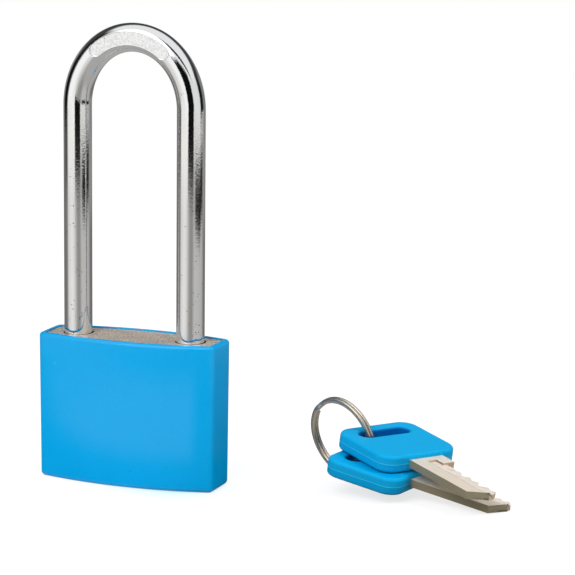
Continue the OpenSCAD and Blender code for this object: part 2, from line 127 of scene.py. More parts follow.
def ramp(tree, fac, stops):
    """A ramp of greys or colours: stops are pairs of a place from 0 to 1 and a level."""
    made = node(tree, "ValToRGB", {"Fac": fac})
    band = made.color_ramp
    while len(band.elements) < len(stops):
        band.elements.new(0.5)
    for element, (place, level) in zip(band.elements, stops):
        element.position = place
        element.color = (*level, 1) if isinstance(level, tuple) else (level, level, level, 1)
    return made.outputs["Color"]


def mix(tree, fac, first, second, **settings):
    """A colour that goes from the first to the second as fac goes from 0 to 1."""
    return node(tree, "Mix", {"Factor": fac, 6: first, 7: second}, data_type="RGBA",
                **settings).outputs[2]


def fade(tree, value, span, ends=(0, 1), **settings):
    """A number that goes from one end to the other while a value crosses the span, and that
    stays at its ends outside it."""
    return node(tree, "MapRange", {"Value": value, "From Min": span[0], "From Max": span[1],
                                   "To Min": ends[0], "To Max": ends[1]},
                **settings).outputs["Result"]


def reckon(tree, operation, *terms):
    """The result of one operation on numbers or on outputs that give numbers."""
    return node(tree, "Math", dict(enumerate(terms)), operation=operation).outputs[0]


def measure(tree, operation, *vectors):
    """The number that a length, a distance or a dot product of vectors gives."""
    return node(tree, "VectorMath", dict(enumerate(vectors)),
                operation=operation).outputs["Value"]


def bands_round(tree, direction, *lists):
    """Greys that change with the compass direction, one for each list of bands, and last the
    height of the direction."""
    x, y, z = node(tree, "SeparateXYZ", {"Vector": direction}).outputs
    share = fade(tree, reckon(tree, "ARCTAN2", y, x), (-math.pi, math.pi))
    greys = [ramp(tree, share, [((degrees + 180) / 360, level) for degrees, level in bands])
             for bands in lists]
    return *greys, z


def sky_in_metal(tree):
    """What metal sees above the table, by the direction of the ray. The ceiling begins where
    the ray's height, with a share of its X, less a share of how far it goes back, crosses
    ceiling_from. The dark gap is a ring round an axis and ends towards the back, and the
    softbox is a spot round its own direction."""
    towards = node(tree, "TexCoord").outputs["Generated"]
    walls, upper_walls, height = bands_round(tree, towards, wall_bands, upper_bands)
    seen = mix(tree, fade(tree, height, upper_from), walls, upper_walls)
    back = measure(tree, "DOT_PRODUCT", towards, (0, 1, 0))
    sloped = reckon(tree, "MULTIPLY_ADD", reckon(tree, "MAXIMUM", back, 0), ceiling_drop_behind,
                    measure(tree, "DOT_PRODUCT", towards, ceiling_slope))
    ceiling = fade(tree, sloped, ceiling_from, interpolation_type="SMOOTHSTEP")
    seen = mix(tree, ceiling, seen, ceiling_tone)
    along_axis = measure(tree, "DOT_PRODUCT", towards, gap_axis)
    gap = reckon(tree, "MULTIPLY", fade(tree, along_axis, gap_inner_from),
                 fade(tree, along_axis, gap_outer_from))
    gap = reckon(tree, "MULTIPLY", gap, fade(tree, back, gap_front_from))
    seen = mix(tree, gap, seen, gap_tone)
    spot = fade(tree, measure(tree, "DOT_PRODUCT", towards, softbox_towards), softbox_from)
    return mix(tree, spot, seen, softbox_tone)


def for_rays(tree, kind, others, seen):
    """A surface or background that shows one thing to the rays of a kind and another to all
    other rays."""
    rays = node(tree, "LightPath").outputs[f"Is {kind} Ray"]
    return node(tree, "MixShader", {0: rays, 1: others.outputs[0], 2: seen.outputs[0]})


world = bpy.data.worlds.new("studio")
bpy.context.scene.world = world
world.use_nodes = True
sky = world.node_tree
sky.nodes.clear()
reflected = node(sky, "Background", {"Color": sky_in_metal(sky)})
soft_fill = node(sky, "Background", {"Color": (1, 1, 1, 1), "Strength": fill_level})
white = node(sky, "Background", {"Color": (1, 1, 1, 1)})
around = for_rays(sky, "Camera", for_rays(sky, "Glossy", soft_fill, reflected), white)
node(sky, "OutputWorld", {"Surface": around.outputs[0]})


def lamp(name, azimuth, elevation, distance, size, level):
    """A square soft lamp that faces the padlock. A white matt face turned towards it gains
    the given level, which takes pi squared times level times distance squared in watts."""
    data = bpy.data.lights.new(name, "AREA")
    data.shape = "SQUARE"
    data.size = size
    data.energy = level * (math.pi * distance) ** 2
    made = bpy.data.objects.new(name, data)
    a, e = math.radians(azimuth), math.radians(elevation)
    towards = Vector((math.cos(a) * math.cos(e), math.sin(a) * math.cos(e), math.sin(e)))
    made.location = lamp_aim + towards * distance
    made.rotation_euler = towards.to_track_quat("Z", "Y").to_euler()
    made.visible_glossy = False
    bpy.context.scene.collection.objects.link(made)


lamp("key_lamp", azimuth=-103, elevation=45, distance=1.4, size=0.9, level=0.64)
lamp("side_lamp", azimuth=8, elevation=50, distance=1.4, size=0.7, level=0.46)

# ---------------------------------------------------------------- table
# A sheet of glossy white laminate under the padlock and its keys, part of the studio. Metal
# sees painted reflection greys on it, in zones from the padlock's foot outwards: a black painted
# shadow, near greys with the painted reflection of a white sheet of paper on them, then table,
# outer and far bands, which begin at distances in metres.
table_reach = 0.8
painted_shadow_from = (0.045, 0.10)
painted_shadow_tone = (0.005, 0.005, 0.005, 1)
near_bands = [
    (-180, 0.08), (-150, 0.01), (-60, 0.01), (-36, 0.24), (34, 0.24), (50, 0.05), (66, 0.08),
    (120, 0.12), (180, 0.10),
]
table_begins = [(-66, 0.19), (-46, 0.165), (44, 0.165), (58, 0.19)]
table_bands = [
    (-180, 0.17), (-162, 0.26), (-150, 0.70), (-118, 0.84), (-98, 0.72), (-84, 0.46),
    (-72, 0.31), (-56, 0.28), (-46, 0.40), (-36, 0.53), (-7, 0.51), (24, 0.46), (36, 0.38),
    (46, 0.20), (70, 0.17), (120, 0.20), (180, 0.17),
]
outer_begins = [
    (-92, 0.58), (-46, 0.57), (-34, 0.47), (8, 0.43), (24, 0.50), (44, 0.48), (60, 0.43),
    (100, 0.58),
]
bands_behind = [(120, 0.22), (164, 0.18), (180, 0.08)]
bands_left = [(-180, 0.08), (-162, 0.12), (-152, 0.66), (-147, 0.90), (-94, 0.90),
              (-88, 0.006), (-49, 0.006)]
outer_bands = bands_left + [(-44, 0.34), (-34, 0.30), (-29, 0.006), (28, 0.006), (40, 0.24),
                            (50, 0.30)] + bands_behind
far_begins = [(-44, 0.67), (5, 0.675), (22, 0.735), (60, 0.735)]
far_bands = bands_left + [(-44, 0.74), (22, 0.74), (34, 0.50), (44, 0.32),
                          (60, 0.24)] + bands_behind
table_soft, outer_soft, far_soft = 0.004, 0.03, 0.012
painted_sheet_tone = (0.92, 0.92, 0.92, 1)
painted_sheet_edges = [
    ((1, 0.088), 0.0190, 0.005), ((0, -1), 0.146, 0.03), ((0, 1), -0.045, 0.022),
    ((-0.515, 1), -0.012, 0.03), ((-1, 0), 0.13, 0.17),
]
own_grey = (0.42, 0.42, 0.42, 1)
own_grey_from = (0.62, 0.45)
warm_tint = (1, 0.985, 0.955, 1)
keys_middle = (0.064, 0.022, 0)
# Painted shade on the matt floor that light bounces from: darker near the keys' middle.
painted_shade_reach, painted_shade_levels = 0.1, [(0.3, 0.2), (0.7, 0.9)]
# A painted blue reflection of the jacket on the camera-seen table, in a patch near its foot.
painted_blue_reflection_edges = [
    ((0, -1), 0.014, 0.012), ((0, 1), 0.002, 0.02), ((1, 0), 0.026, 0.02),
    ((-1, 0), -0.001, 0.024),
]
painted_blue_reflection_tint = (0.55, 0.84, 1, 1)
glow_level = 0.74
lit_grey = (0.32, 0.32, 0.32, 1)


def within(tree, place, edges):
    """One inside a patch of the table and zero outside. Each edge is a direction, how far the
    patch reaches in it, and the width over which it ends."""
    inside = 1
    for (x, y), end, soft in edges:
        along = measure(tree, "DOT_PRODUCT", place, (x, y, 0))
        share = fade(tree, along, (end + soft / 2, end - soft / 2))
        inside = reckon(tree, "MULTIPLY", inside, share)
    return inside


def table_in_metal(tree, place):
    """The painted reflection greys that metal sees on the table, by the place on it: a black
    painted shadow round the foot, then zones with a painted white sheet among the near greys.
    Each zone covers the last one where the distance from the middle is past the zone's beginning.
    The laminate's gloss mirrors the studio at a shallow angle only, so from above it shows its
    own grey."""
    near, table, outer, far, table_edge, outer_edge, far_edge, _ = bands_round(
        tree, place, near_bands, table_bands, outer_bands, far_bands, table_begins,
        outer_begins, far_begins)
    reach = measure(tree, "LENGTH", place)
    # A black painted shadow round the foot, then the painted reflection of a white sheet.
    greys = mix(tree, fade(tree, reach, painted_shadow_from), painted_shadow_tone, near)
    greys = mix(tree, within(tree, place, painted_sheet_edges), greys, painted_sheet_tone)
    for edge, soft, zone in ((table_edge, table_soft, table), (outer_edge, outer_soft, outer),
                             (far_edge, far_soft, far)):
        past = fade(tree, reckon(tree, "SUBTRACT", reach, edge), (-soft, soft))
        greys = mix(tree, past, greys, zone)
    shallow = node(tree, "LayerWeight", {"Blend": 0.5}).outputs["Facing"]
    greys = mix(tree, fade(tree, shallow, own_grey_from), greys, own_grey)
    return mix(tree, 1, greys, warm_tint, blend_type="MULTIPLY")


def white_laminate():
    """White to the eye, with faint shadows and a painted blue reflection of the jacket near its
    foot, painted reflection greys in metal, and a matt white for light that bounces, with painted
    shade under the keys."""
    made = bpy.data.materials.new("white_table")
    made.use_nodes = True
    tree = made.node_tree
    tree.nodes.clear()
    place = node(tree, "TexCoord").outputs["Object"]
    # Painted shade: the matt white darkens towards the keys.
    from_keys = measure(tree, "DISTANCE", place, keys_middle)
    painted_shade_matt = ramp(tree, fade(tree, from_keys, (0, painted_shade_reach)), painted_shade_levels)
    matt = node(tree, "BsdfDiffuse", {"Color": painted_shade_matt})
    # Painted reflection: the glow turns light blue near the padlock's foot.
    painted_blue_reflection = mix(tree, within(tree, place, painted_blue_reflection_edges), (1, 1, 1, 1), painted_blue_reflection_tint)
    glow = node(tree, "Emission", {"Color": painted_blue_reflection, "Strength": glow_level})
    lit = node(tree, "BsdfDiffuse", {"Color": lit_grey})
    bright = node(tree, "AddShader", {0: lit.outputs[0], 1: glow.outputs[0]})
    mirrored = node(tree, "Emission", {"Color": table_in_metal(tree, place)})
    top = for_rays(tree, "Camera", for_rays(tree, "Glossy", matt, mirrored), bright)
    node(tree, "OutputMaterial", {"Surface": top.outputs[0]})
    return made


corners = table_reach * np.array([[-1, -1, 0], [1, -1, 0], [1, 1, 0], [-1, 1, 0]], float)
floor_mesh = bpy.data.meshes.new("floor")
floor_mesh.from_pydata(corners.tolist(), [], [(0, 1, 2, 3)])
floor_mesh.materials.append(white_laminate())
floor = bpy.data.objects.new("floor", floor_mesh)
bpy.context.scene.collection.objects.link(floor)

# ---------------------------------------------------------------- cover
# The jacket is one thin moulding of soft-sheen nylon that grips the metal block. Its faces
# bulge a little, it draws in slightly towards the base, and every edge is rounded.
MM = 0.001
half_w, half_d, cover_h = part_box("cover")[1]
end_half_d = 6.35 * MM
face_r = (half_w**2 + (half_d - end_half_d) ** 2) / (2 * (half_d - end_half_d))
corner_r = 1.8 * MM
inner_corner_r = 0.35 * MM
end_crown = 0.03 * MM
draft = 0.317 * MM
rim_r = 1.05 * MM
rim_inner_r = 0.25 * MM
base_r = 1.4 * MM
wall = 1.3 * MM
lip_reach = 0.4 * MM
lip_h = 1.2 * MM
cover_floor = 1.6 * MM
opening_r = 7 * MM
opening_edge = 0.3 * MM
one_point = 0.002 * MM


def linear(red, green, blue):
    """A colour from its values of 0 to 255 on a screen to the linear values that nodes use."""
    share = np.array([red, green, blue]) / 255
    level = np.where(share <= 0.04045, share / 12.92, ((share + 0.055) / 1.055) ** 2.4)
    return (*level.tolist(), 1)


def quarter(start, end, steps=8):
    """Cosine and sine of evenly spaced angles between two angles in degrees."""
    angle = np.radians(np.linspace(start, end, steps))
    return np.cos(angle), np.sin(angle)


def rows(*parts):
    """Stations of a closed profile from parts. Each part has the columns w, inset, grow
    and z, where any of them may be one number for the whole part."""
    return np.concatenate([np.stack(np.broadcast_arrays(*part), -1).reshape(-1, 4)
                           for part in parts])


def surface(name, points, closed=(True, True), crease=32):
    """A mesh object from a grid of points. Neighbours on the grid become quads, the grid
    wraps round where it is closed, points in one place are merged, and faces are smooth
    except where they meet at more than the crease angle."""
    n, m = points.shape[:2]
    index = np.arange(n * m).reshape(n, m)
    if closed[0]:
        index = np.vstack([index, index[:1]])
    if closed[1]:
        index = np.hstack([index, index[:, :1]])
    quads = np.stack([index[:-1, :-1], index[:-1, 1:], index[1:, 1:], index[1:, :-1]], -1)
    mesh = bpy.data.meshes.new(name)
    mesh.from_pydata(points.reshape(-1, 3), [], quads.reshape(-1, 4))
    work = bmesh.new()
    work.from_mesh(mesh)
    bmesh.ops.remove_doubles(work, verts=work.verts, dist=one_point)
    bmesh.ops.dissolve_degenerate(work, edges=work.edges, dist=one_point / 20)
    ends = [edge for edge in work.edges if edge.is_boundary]
    if ends:
        bmesh.ops.holes_fill(work, edges=ends)
    bmesh.ops.recalc_face_normals(work, faces=work.faces)
    work.to_mesh(mesh)
    work.free()
    mesh.shade_smooth()
    mesh.set_sharp_from_angle(angle=math.radians(crease))
    made = bpy.data.objects.new(name, mesh)
    bpy.context.scene.collection.objects.link(made)
    return made


def cover_plan(inset):
    """Outline of the cover moved inwards by inset: a shallow arc of the face radius less the
    inset, a corner arc tangent to it and to the flat end, and the same again for each side.
    The input is a column, so that one row of points comes out for every inset."""
    corner = np.maximum(corner_r - inset, inner_corner_r)
    r = face_r - inset
    x = half_w - inset - end_crown - corner
    centre_y = face_r - half_d
    y = centre_y - np.sqrt((r - corner) ** 2 - x**2)
    spread = np.arctan2(x, centre_y - y)
    t = np.linspace(-1, 1, 97) * spread
    face = np.stack([r * np.sin(t), centre_y - r * np.cos(t)], -1)
    bend = spread - np.pi / 2 + np.linspace(0, 1, 11)[1:] * (np.pi / 2 - spread)
    corner_arc = np.stack([x + corner * np.cos(bend), y + corner * np.sin(bend)], -1)
    side_y = y + np.linspace(0, 1, 17)[1:-1] * -2 * y
    side = np.stack([half_w - inset - end_crown * (side_y / y) ** 2, side_y], -1)
    half = np.concatenate([face, corner_arc, side, corner_arc[:, ::-1] * [1, -1]], axis=1)
    return np.concatenate([half, -half], axis=1)


def opening_like(outline, grow):
    """The key's round opening, grown outwards, in the directions of an outline's points."""
    angle = np.arctan2(outline[..., 1], outline[..., 0])
    return (opening_r + grow)[..., None] * np.stack([np.cos(angle), np.sin(angle)], -1)


def shell(outer, inner, profile):
    """A profile carried round between two outlines: a station with w = 0 lies on the outer
    outline, one with w = 1 on the inner one, and the others in proportion between them."""
    w, inset, grow, z = (profile[:, [i]] for i in range(4))
    a = outer(inset)
    b = inner(a, grow)
    flat = a * (1 - w[..., None]) + b * w[..., None]
    height = np.broadcast_to(z, flat.shape[:2])
    return np.concatenate([flat, height[..., None]], -1)


def cover_profile():
    """Stations round the jacket's wall: outwards along the underside, up the drafted outside,
    over the rim, down behind its lip to the floor, inwards, and down the key's opening."""
    c, s = quarter(270, 360)
    base_edge = (0, draft + base_r * (1 - c), 0, base_r * (1 + s))
    wall_z = np.linspace(base_r, cover_h - rim_r, 12)
    outer_wall = (0, draft * (1 - wall_z / cover_h), 0, wall_z)
    c, s = quarter(0, 90)
    rim_edge = (0, rim_r * (1 - c), 0, cover_h - rim_r * (1 - s))
    lip_in = wall + lip_reach
    rim_flat = (0, np.linspace(rim_r, lip_in - rim_inner_r, 4), 0, cover_h)
    rim_inner = (0, lip_in - rim_inner_r * (1 - s), 0, cover_h - rim_inner_r * (1 - c))
    lip_low = cover_h - lip_h
    inside = (0, np.array([lip_in, wall, wall]), 0, np.array([lip_low, lip_low, cover_floor]))
    across = np.linspace(0, 1, 7)
    floor_inside = (across, wall, 0, cover_floor)
    opening_wall = (1, wall, opening_edge * np.array([0, 0, 0.3, 1]),
                    np.array([cover_floor, opening_edge, opening_edge * 0.3, 0]))
    underside = (across[::-1], draft + base_r, opening_edge, 0)
    return rows(underside, base_edge, outer_wall, rim_edge, rim_flat, rim_inner, inside,
                floor_inside, opening_wall)


def opened(finish):
    """A material's node tree and its surface node."""
    return finish.node_tree, finish.node_tree.nodes["Principled BSDF"]


def new_finish(name):
    """A new material, its node tree and its surface node."""
    made = bpy.data.materials.new(name)
    made.use_nodes = True
    return made, *opened(made)


def feed(tree, skin, **outputs):
    """Lets outputs drive the surface's sockets, whose names have spaces for underscores."""
    for name, output in outputs.items():
        tree.links.new(output, skin.inputs[name.replace("_", " ")])


def noise(tree, place, scale, detail=2):
    """Cloudy noise from about 0.3 to 0.7, with about as many clouds in a metre as scale."""
    return node(tree, "TexNoise", {"Vector": place, "Scale": scale,
                                   "Detail": detail}).outputs["Fac"]


def blend(tree, share, first, second):
    """A number that goes from the first to the second with its share."""
    return node(tree, "Mix", {"Factor": share, 2: first, 3: second}).outputs[0]


def dented(tree, height, strength, depth):
    """The normal of a surface that a height of 0 to 1 dents by up to a depth in metres."""
    return node(tree, "Bump", {"Height": height, "Strength": strength,
                               "Distance": depth}).outputs["Normal"]


def moulded_plastic(name, colour, rough, gloss):
    """Coloured nylon: a faint cloudiness and a fine mottle in the colour, rare specks of dark dust
    and of pale painted glints, a satin sheen that varies in soft patches, and the mould's fine
    grain."""
    made, tree, skin = new_finish(name)
    skin.inputs["IOR"].default_value = 1.46
    skin.inputs["Specular IOR Level"].default_value = gloss
    place = node(tree, "TexCoord").outputs["Object"]
    dark, light, dirt = (tuple(share * level for level in colour[:3])
                         for share in (0.95, 1.03, 0.5))
    mottle = blend(tree, 0.7, noise(tree, place, 90, 3), noise(tree, place, 2600, 1))
    clouded = ramp(tree, mottle, [(0.35, dark), (0.65, light)])
    # Rare specks: the dark ones are dust, the pale ones are painted glints.
    dust_and_glint_dots = node(tree, "TexVoronoi", {"Vector": place, "Scale": 260})
    speck = ramp(tree, dust_and_glint_dots.outputs["Distance"], [(0.035, 1), (0.06, 0)])
    rare = ramp(tree, noise(tree, place, 140), [(0.60, 0), (0.64, 1)])
    dust_and_glint_tone = ramp(tree, dust_and_glint_dots.outputs["Color"], [(0.55, dirt), (0.6, (0.22, 0.52, 0.78))])
    dust_and_glints = mix(tree, reckon(tree, "MULTIPLY", speck, rare), clouded, dust_and_glint_tone)
    satin = fade(tree, noise(tree, place, 160, 4), (0, 1), (rough - 0.04, rough + 0.04))
    grain = dented(tree, noise(tree, place, 3200), 0.12, 0.02 * MM)
    feed(tree, skin, Base_Color=dust_and_glints, Roughness=satin, Normal=grain)
    return made


cover = surface("cover_shell", shell(cover_plan, opening_like, cover_profile()))
cover.data.materials.append(moulded_plastic("blue_nylon", linear(0, 154, 214), 0.13, 0.36))
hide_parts("cover")
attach(cover, "casing")

# ---------------------------------------------------------------- metal block
# The block inside the cover is cut from a brass bar and plated dull grey. Only its ground
# top face shows, round the two shackle holes.
plate_colour = linear(206, 194, 181)
plate_metallic = 0.5
# Painted shade down the holes and in the gap round each leg.
painted_hole_shade = (0.004, 0.004, 0.004, 1)
hole_gap = 0.36 * MM
rim_soft = 0.16 * MM
rim_back = 0.15 * MM
painted_hole_shade_from = (0.03 * MM, 0.18 * MM)


def drawn_out(tree, place, scale=(1, 1, 1), turn=(0, 0, 0), middle=(0, 0, 0)):
    """Coordinates in which a pattern is longer by the scale, turned, and moved to a middle."""
    return node(tree, "Mapping", {"Vector": place, "Location": middle, "Rotation": turn,
                                  "Scale": scale}, vector_type="TEXTURE").outputs[0]


def worked_metal(name, colour, rough, scale=(1, 1, 1), turn=(0, 0, 0), grain=2600,
                 contrast=0.12, metallic=1, depth=0.02 * MM, blotches=0.35):
    """Bare or plated metal with tool marks. The noise is drawn out along the directions in
    which scale is large, so the marks run that way, and it tints, dulls and dents the metal.
    Blotches is the share of wider clouds in the tint."""
    made, tree, skin = new_finish(name)
    skin.inputs["Metallic"].default_value = metallic
    along = drawn_out(tree, node(tree, "TexCoord").outputs["Object"], scale, turn)
    marks = noise(tree, along, grain, 4)
    both = blend(tree, blotches, marks, noise(tree, along, grain / 9, 3))
    low = tuple((1 - contrast) * level for level in colour[:3])
    high = tuple(min(1, (1 + contrast) * level) for level in colour[:3])
    feed(tree, skin, Base_Color=ramp(tree, both, [(0.36, low), (0.64, high)]),
         Roughness=fade(tree, both, (0.3, 0.7), (rough * 0.8, rough * 1.2)),
         Normal=dented(tree, marks, 0.5, depth))
    return made


def colour_under(skin):
    """The output that colours a finish so far."""
    return skin.inputs["Base Color"].links[0].from_socket


def ground_plate():
    """The block's dull plate, ground along its length. It has painted shade, black and fully
    metallic, down the shackle's holes and at their rims: within the hole's radius of a point just
    behind its axis."""
    made = worked_metal("ground_block", plate_colour, 0.5, scale=(1.8, 1, 1), grain=2800,
                        contrast=0.6, metallic=plate_metallic, depth=0.04 * MM, blotches=0.15)
    tree, skin = opened(made)
    plate_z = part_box("lock_body")[1].z
    leg_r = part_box("shackle")[1].y
    hole_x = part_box("shackle")[1].x - leg_r
    hole_r = leg_r + hole_gap
    place = node(tree, "TexCoord").outputs["Object"]
    x, y, z = node(tree, "SeparateXYZ", {"Vector": place}).outputs
    in_hole = fade(tree, z, [plate_z - depth for depth in painted_hole_shade_from])
    flat = node(tree, "CombineXYZ", {"X": reckon(tree, "ABSOLUTE", x), "Y": y}).outputs[0]
    from_hole = measure(tree, "DISTANCE", flat, (hole_x, rim_back, 0))
    at_rim = fade(tree, from_hole, (hole_r + rim_soft / 2, hole_r - rim_soft / 2))
    # Painted shade: black and fully metallic below the plate's top and in a ring round each leg.
    dark = reckon(tree, "MAXIMUM", in_hole, at_rim)
    feed(tree, skin, Base_Color=mix(tree, dark, colour_under(skin), painted_hole_shade),
         Metallic=fade(tree, dark, (0, 1), (plate_metallic, 1)))
    return made


def dress(material, *names):
    """Puts a material on CAD nodes, in the slots of their objects."""
    for name in names:
        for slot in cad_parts[name].material_slots:
            slot.material = material


dress(ground_plate(), "lock_body")

# ---------------------------------------------------------------- shackle
# A bar of hardened steel bent to a long loop and chromed. The front of its bend has a pressed
# panel with a flat floor and round ends. A notch for a bolt is milled into each leg, and the
# heel has a turned neck and a collar that keep it in the block.
shackle_low, shackle_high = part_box("shackle")
bar_r = shackle_high.y
leg_x = shackle_high.x - bar_r
bend_rise = 19.5 * MM
bend_z = shackle_high.z - bend_rise - bar_r
heel_z = shackle_low.z
toe_z = 28 * MM
end_cone = 0.8 * MM
neck_r = 2.25 * MM
neck_z = (10.15 * MM, 27.4 * MM)
latch_z = 33.2 * MM
notch_floor = 2.35 * MM
notch_r = (1.35 * MM, 2.65 * MM)
notch_cone = 1.4 * MM
panel_depth = 0.6 * MM
panel_half_w = 2.2 * MM
panel_half_run = 10.8 * MM
panel_soft = 0.4 * MM
chrome_tones = [(0.3, (0.86, 0.865, 0.87)), (0.7, (0.92, 0.925, 0.93))]
die_tones = [(0.38, (0.72, 0.72, 0.71)), (0.58, (0.89, 0.89, 0.89))]
pit_tone = (0.05, 0.05, 0.055, 1)
pitted_from = (42 * MM, 122 * MM)
more_pits_low = [(0, 0.18), (0.1, 0.15), (0.25, 0.05), (1, 0.025)]
rippled_from = (50 * MM, 85 * MM)


def shackle_stations():
    """Stations along the bar as columns: x and z of its axis, the outward direction in the
    loop's plane, the bar's radius, and the way along the axis from the top of the bend. The
    bend is half an ellipse, a little taller than a half circle, and stations lie closer at
    the notches and at the panel's ends."""
    notch = np.linspace(latch_z - notch_r[1] * 1.1, latch_z + notch_r[1] * 1.1, 56)
    leg = np.linspace(notch[-1], bend_z, 16)[1:-1]
    toe = np.concatenate([[toe_z, toe_z, toe_z + end_cone], notch, leg])
    toe_radius = np.full(toe.shape, bar_r)
    toe_radius[:2] = 0, bar_r - end_cone
    heel = np.concatenate([[heel_z, heel_z, heel_z + end_cone, neck_z[0], neck_z[0],
                            neck_z[1], neck_z[1]], notch, leg])
    heel_radius = np.full(heel.shape, bar_r)
    heel_radius[:2] = 0, bar_r - end_cone
    heel_radius[4:6] = neck_r
    step = np.concatenate([np.linspace(0, 30, 25)[:-1], np.linspace(30, 46, 64)[:-1],
                           np.linspace(46, 90, 45)])
    bend = np.radians(np.concatenate([-step[::-1], step[1:]]))
    x = np.concatenate([np.full(heel.shape, -leg_x), leg_x * np.sin(bend),
                        np.full(toe.shape, leg_x)])
    z = np.concatenate([heel, bend_z + bend_rise * np.cos(bend), toe[::-1]])
    bend_out = np.arctan2(bend_rise * np.sin(bend), leg_x * np.cos(bend))
    out = np.concatenate([np.full(heel.shape, -np.pi / 2), bend_out,
                          np.full(toe.shape, np.pi / 2)])
    radius = np.concatenate([heel_radius, np.full(bend.shape, bar_r), toe_radius[::-1]])
    way = np.concatenate([[0], np.cumsum(np.hypot(np.diff(x), np.diff(z)))])
    return x, z, out, radius, way - way[len(heel) + len(bend) // 2]


def shackle_grid():
    """The bar is a circle carried along the loop, with more points on its front. The front is
    then pushed back in Y to the panel's floor wherever a point lies inside the panel's outline,
    and the inner side of each leg is pushed back in X to the cone of the bolt's notch."""
    x, z, out, radius, way = (column[:, None] for column in shackle_stations())
    round_bar = np.radians(np.concatenate([np.linspace(45, 135, 72, endpoint=False),
                                           np.linspace(135, 405, 100, endpoint=False)]))[None, :]
    side, front = radius * np.cos(round_bar), radius * np.sin(round_bar)
    px = x + side * np.sin(out)
    py = np.broadcast_to(-front, px.shape).copy()
    pz = z + side * np.cos(out)
    off = np.hypot(side, np.clip(np.abs(way) - panel_half_run, 0, None))
    inside = np.clip((panel_half_w - off) / panel_soft, 0, 1)
    inside = inside * inside * (3 - 2 * inside)
    py = np.maximum(py, -(bar_r - panel_depth * inside))
    away = np.hypot(py, pz - latch_z)
    slope = np.clip((away - notch_r[0]) / (notch_r[1] - notch_r[0]), 0, 1)
    limit = leg_x - notch_floor - notch_cone * slope
    beside = (away < notch_r[1]) & (np.abs(px) < leg_x) & (radius > 0)
    pushed = np.sign(px) * np.maximum(np.abs(px), limit)
    px = np.where(beside, pushed, px)
    return np.stack([px, py, pz], -1)


def mark(made, name, domain, values):
    """Stores one number for each vertex or face, which a material reads by its name."""
    made.data.attributes.new(name, "FLOAT", domain).data.foreach_set("value", values)


def vectors(items, field):
    """One vector of every vertex or face, as rows."""
    found = np.zeros(3 * len(items))
    items.foreach_get(field, found)
    return found.reshape(-1, 3)


def panel_floor(faces):
    """One for the faces that look straight forward from the panel's depth, zero for others."""
    forward = vectors(faces, "normal")[:, 1] < -0.99
    deep = np.abs(vectors(faces, "center")[:, 1] + bar_r - panel_depth) < 0.02 * MM
    return (forward & deep).astype(float)


def bright_chrome():
    """Bright plate with soft tarnish. Voronoi dots of many sizes are pits where a noise plus a
    share that grows towards the foot is high enough, the panel's floor keeps the grain of its
    die, and a ripple as from drawing the bar is stronger higher up."""
    made, tree, skin = new_finish("bright_chrome")
    skin.inputs["Metallic"].default_value = 1
    place = node(tree, "TexCoord").outputs["Object"]
    height = node(tree, "SeparateXYZ", {"Vector": place}).outputs["Z"]
    dots = node(tree, "TexVoronoi", {"Vector": place, "Scale": 1500})
    size = reckon(tree, "MULTIPLY", dots.outputs["Color"], 0.17)
    from_edge = reckon(tree, "SUBTRACT", dots.outputs["Distance"], size)
    pit = ramp(tree, from_edge, [(0.07, 1), (0.14, 0)])
    spread = node(tree, "TexNoise", {"Vector": place, "W": 2.3, "Scale": 330, "Detail": 2},
                  noise_dimensions="4D").outputs["Fac"]
    more = ramp(tree, fade(tree, height, pitted_from), more_pits_low)
    few = ramp(tree, reckon(tree, "ADD", spread, more), [(0.66, 0), (0.68, 1)])
    tarnish = noise(tree, place, 60, 5)
    pressed = node(tree, "Attribute", attribute_name="pressed").outputs["Fac"]
    toned = mix(tree, pressed, ramp(tree, tarnish, chrome_tones),
                ramp(tree, noise(tree, place, 1700), die_tones))
    pitted = mix(tree, reckon(tree, "MULTIPLY", pit, few), toned, pit_tone)
    ripple = noise(tree, drawn_out(tree, place, (1, 1, 1.4)), 2600)
    stronger_high = fade(tree, height, rippled_from, (0.12, 0.35))
    feed(tree, skin, Base_Color=pitted, Roughness=fade(tree, tarnish, (0.3, 0.7), (0.035, 0.09)),
         Normal=dented(tree, ripple, stronger_high, 0.03 * MM))
    return made


shackle = surface("shackle_bar", shackle_grid(), closed=(False, True))
mark(shackle, "pressed", "FACE", panel_floor(shackle.data.polygons))
shackle.data.materials.append(bright_chrome())
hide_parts("shackle")
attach(shackle, "shackle")

# ---------------------------------------------------------------- springs and bolts
# Drawn spring wire under the heel and behind each pin, two hardened bolts, the driver pins,
# and the cross pins that keep the heel and the plug in the block. All of them lie inside it.
# The small springs are pressed by the pins.
coil_crease = math.radians(40)
spring_wire = worked_metal("spring_wire", linear(150, 150, 152), 0.3, grain=4000)


def coil_copy(name, label):
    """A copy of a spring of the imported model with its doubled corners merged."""
    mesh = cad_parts[name].data.copy()
    mesh.materials.clear()
    work = bmesh.new()
    work.from_mesh(mesh)
    bmesh.ops.remove_doubles(work, verts=work.verts, dist=one_point / 2)
    work.to_mesh(mesh)
    work.free()
    mesh.shade_smooth()
    mesh.set_sharp_from_angle(angle=coil_crease)
    made = bpy.data.objects.new(label, mesh)
    bpy.context.scene.collection.objects.link(made)
    made.data.materials.append(spring_wire)
    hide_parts(name)
    return made


heel_coil = coil_copy("shackle_spring", "shackle_coil")
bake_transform(heel_coil)
pin_coils = coil_copy("pin_springs", "pin_coils")
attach(pin_coils, "casing")
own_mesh(pin_coils)
dress(worked_metal("hardened_steel", linear(128, 128, 130), 0.28, scale=(5, 1, 1)),
      "toe_latch", "heel_latch", "stop_pin", "plug_pin", "driver_pins")

